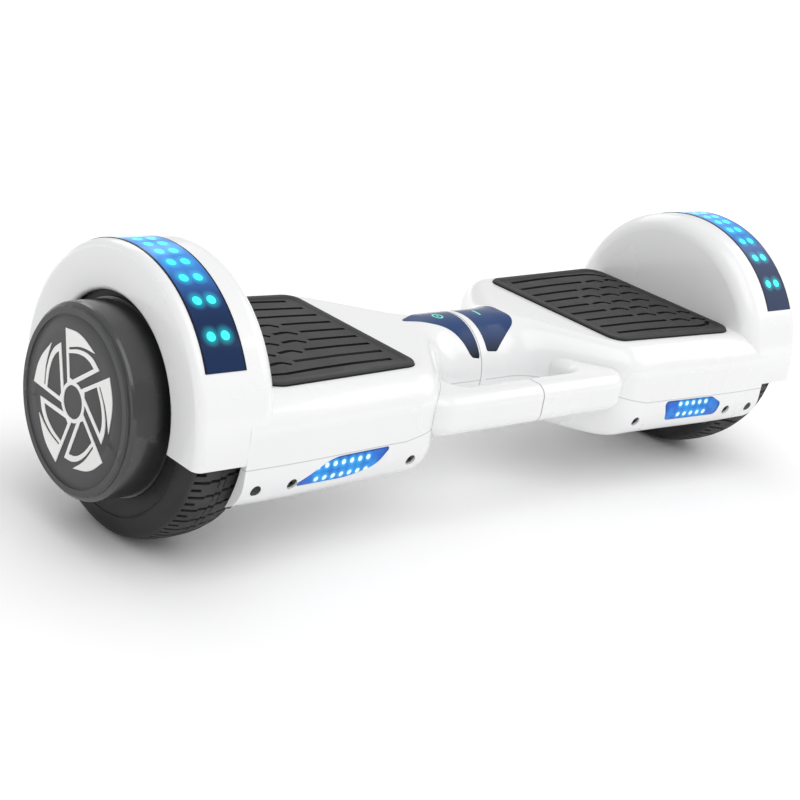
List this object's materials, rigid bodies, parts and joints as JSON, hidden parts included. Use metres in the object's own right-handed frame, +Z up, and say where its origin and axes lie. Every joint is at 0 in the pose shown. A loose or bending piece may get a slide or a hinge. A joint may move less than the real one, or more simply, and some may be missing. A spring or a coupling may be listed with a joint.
{
  "type": "self balancing hoverboard",
  "caption": "Two foot decks that twist against each other about a centre tube, each with a hub motor wheel under a lit fender, and a split carry handle at the front.",
  "frame": {"origin": "on the floor under the middle of the board, between the wheels", "axes": "+X along the board to the rider's right when the handle side faces forward as -Y; +Z up"},
  "size_m": [0.5842, 0.182, 0.1754],
  "materials": {
    "shell_white": "glossy white ABS",
    "lamp_blue": "translucent blue polycarbonate",
    "lamp_light": "lamp board with white light points",
    "smoked_cover": "smoked dark blue, glossy",
    "strip_light": "flexible board with cyan light points",
    "mat_rubber": "moulded rubber with grooves",
    "liner_plastic": "textured dark grey",
    "cast_aluminium": "die cast",
    "circuit_board": "green solder mask",
    "steel": "turned steel",
    "screw_steel": "black screws",
    "motor_core": "laminated steel",
    "hub_cover": "gloss black",
    "hub_disc": "charcoal with a white swirl",
    "tyre": "solid rubber with block tread",
    "bush_bronze": "sintered bronze",
    "battery_wrap": "shrink wrap",
    "button_black": "black",
    "cap_rubber": "soft rubber",
    "wire_insulation": "sleeved wire bundle"
  },
  "bodies": {
    "left_half": {"left_arch_liner": "liner_plastic", "left_axle": "steel", "left_axle_clamp": "cast_aluminium", "left_centre_cover": "smoked_cover", "left_chassis": "cast_aluminium", "left_clamp_bolts": "steel", "left_fender_light_cover": "smoked_cover", "left_fender_light_strip": "strip_light", "left_front_lamp": "lamp_light", "left_front_lens": "lamp_blue", "left_gyro_board": "circuit_board", "left_handle": "shell_white", "left_lower_shell": "shell_white", "left_shell_screws": "screw_steel", "left_stator": "motor_core", "left_upper_shell": "shell_white", "left_wiring": "wire_insulation", "seam_ring": "shell_white", "pivot_tube": "steel", "limit_pin": "steel", "retaining_ring": "steel", "main_board": "circuit_board", "charge_socket": "button_black"},
    "right_half": {"right_arch_liner": "liner_plastic", "right_axle": "steel", "right_axle_clamp": "cast_aluminium", "right_centre_cover": "smoked_cover", "right_chassis": "cast_aluminium", "right_clamp_bolts": "steel", "right_fender_light_cover": "smoked_cover", "right_fender_light_strip": "strip_light", "right_front_lamp": "lamp_light", "right_front_lens": "lamp_blue", "right_gyro_board": "circuit_board", "right_handle": "shell_white", "right_lower_shell": "shell_white", "right_shell_screws": "screw_steel", "right_stator": "motor_core", "right_upper_shell": "shell_white", "right_wiring": "wire_insulation", "pivot_bushes": "bush_bronze", "battery": "battery_wrap"},
    "left_wheel": {"left_rotor_rim": "motor_core", "left_motor_cover_outer": "hub_cover", "left_motor_cover_inner": "hub_cover", "left_hub_disc": "hub_disc", "left_tyre": "tyre", "left_wheel_bearings": "steel"},
    "right_wheel": {"right_rotor_rim": "motor_core", "right_motor_cover_outer": "hub_cover", "right_motor_cover_inner": "hub_cover", "right_hub_disc": "hub_disc", "right_tyre": "tyre", "right_wheel_bearings": "steel"},
    "left_mat": {"left_foot_mat": "mat_rubber", "left_switch_plungers": "mat_rubber"},
    "right_mat": {"right_foot_mat": "mat_rubber", "right_switch_plungers": "mat_rubber"},
    "power_button": {"power_button": "button_black"},
    "socket_cap": {"socket_cap": "cap_rubber"}
  },
  "joints": [
    {"name": "centre_twist", "type": "hinge", "parent": "left_half", "child": "right_half", "pos_m": [0, 0, 0.081], "axis": [1, 0, 0], "range_deg": [-15, 15]},
    {"name": "left_wheel_spin", "type": "hinge", "parent": "left_half", "child": "left_wheel", "pos_m": [-0.2221, 0, 0.084], "axis": [1, 0, 0], "continuous": true},
    {"name": "right_wheel_spin", "type": "hinge", "parent": "right_half", "child": "right_wheel", "pos_m": [0.2221, 0, 0.084], "axis": [1, 0, 0], "continuous": true},
    {"name": "left_mat_press", "type": "slide", "parent": "left_half", "child": "left_mat", "axis": [0, 0, -1], "range_m": [0, 0.0015], "stiffness_N_per_m": 2000, "springref_m": -0.0012},
    {"name": "right_mat_press", "type": "slide", "parent": "right_half", "child": "right_mat", "axis": [0, 0, -1], "range_m": [0, 0.0015], "stiffness_N_per_m": 2000, "springref_m": -0.0012},
    {"name": "power_press", "type": "slide", "parent": "left_half", "child": "power_button", "axis": [0, -1, 0], "range_m": [0, 0.001], "stiffness_N_per_m": 300, "springref_m": -0.001},
    {"name": "cap_hinge", "type": "hinge", "parent": "left_half", "child": "socket_cap", "pos_m": [-0.168, 0.08808, 0.0931], "axis": [1, 0, 0], "range_deg": [0, 110]}
  ]
}
